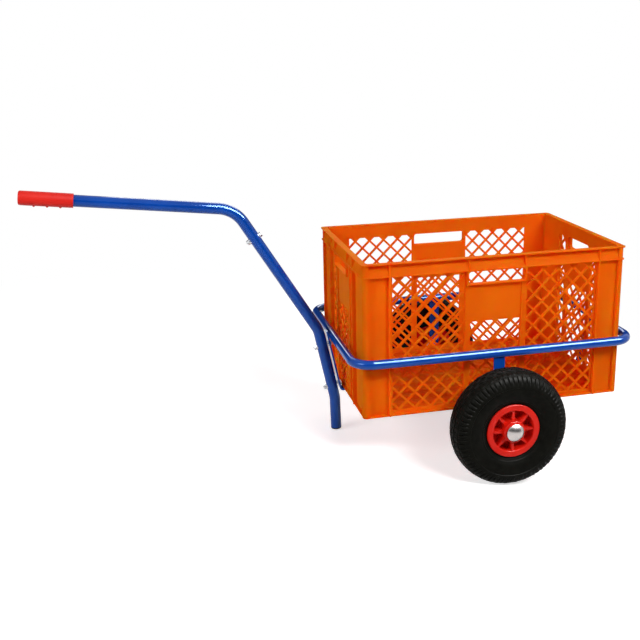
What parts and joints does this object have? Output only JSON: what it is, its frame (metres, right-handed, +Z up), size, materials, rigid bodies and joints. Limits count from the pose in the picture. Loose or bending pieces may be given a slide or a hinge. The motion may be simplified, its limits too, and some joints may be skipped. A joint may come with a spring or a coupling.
{
  "type": "hand cart",
  "caption": "Two-wheeled pull cart: lift-out lattice crate in a tube frame, air tyres, bent drawbar with a grip and a parking leg.",
  "frame": {"origin": "on the ground, at the middle of the cart's outline", "axes": "+X away from the handle, +Y to the cart's right, +Z up; the cart stands on both tyres and its foot"},
  "size_m": [1.3358, 0.6498, 0.5184],
  "materials": {
    "orange_plastic": "moulded, satin",
    "blue_paint": "powder coat, glossy",
    "red_grip": "soft moulded, satin",
    "red_rim": "moulded",
    "tyre_rubber": "moulded tread",
    "tube_rubber": "smooth",
    "black_plastic": "moulded",
    "zinc_steel": "zinc plated"
  },
  "bodies": {
    "frame": {"frame_loop": "blue_paint", "cross_cradle": "blue_paint", "front_bracket": "blue_paint", "rear_bracket": "blue_paint", "axle": "zinc_steel", "axle_collars": "zinc_steel", "drawbar_tube": "blue_paint", "foot_plug": "black_plastic", "handle_tube": "blue_paint", "joint_spigot": "zinc_steel", "handle_grip": "red_grip", "drawbar_bolts": "zinc_steel", "drawbar_nuts": "zinc_steel", "drawbar_saddles": "zinc_steel", "drawbar_washers": "zinc_steel", "handle_bolt": "zinc_steel", "handle_nut": "zinc_steel", "handle_washers": "zinc_steel", "left_hub_washers": "zinc_steel", "right_hub_washers": "zinc_steel", "left_axle_cap": "zinc_steel", "right_axle_cap": "zinc_steel"},
    "crate_body": {"crate": "orange_plastic"},
    "left_wheel": {"left_tyre": "tyre_rubber", "left_inner_tube": "tube_rubber", "left_valve": "tube_rubber", "left_rim": "red_rim", "left_bearing": "zinc_steel"},
    "right_wheel": {"right_tyre": "tyre_rubber", "right_inner_tube": "tube_rubber", "right_valve": "tube_rubber", "right_rim": "red_rim", "right_bearing": "zinc_steel"}
  },
  "joints": [
    {"name": "left_wheel_spin", "type": "hinge", "parent": "frame", "child": "left_wheel", "pos_m": [0.35516, -0.276, 0.128], "axis": [0, 1, 0], "continuous": true},
    {"name": "right_wheel_spin", "type": "hinge", "parent": "frame", "child": "right_wheel", "pos_m": [0.35516, 0.276, 0.128], "axis": [0, 1, 0], "continuous": true},
    {"name": "crate_lift", "type": "slide", "parent": "frame", "child": "crate_body", "axis": [-0.13, 0, 0.9915], "range_m": [0, 0.2]}
  ]
}
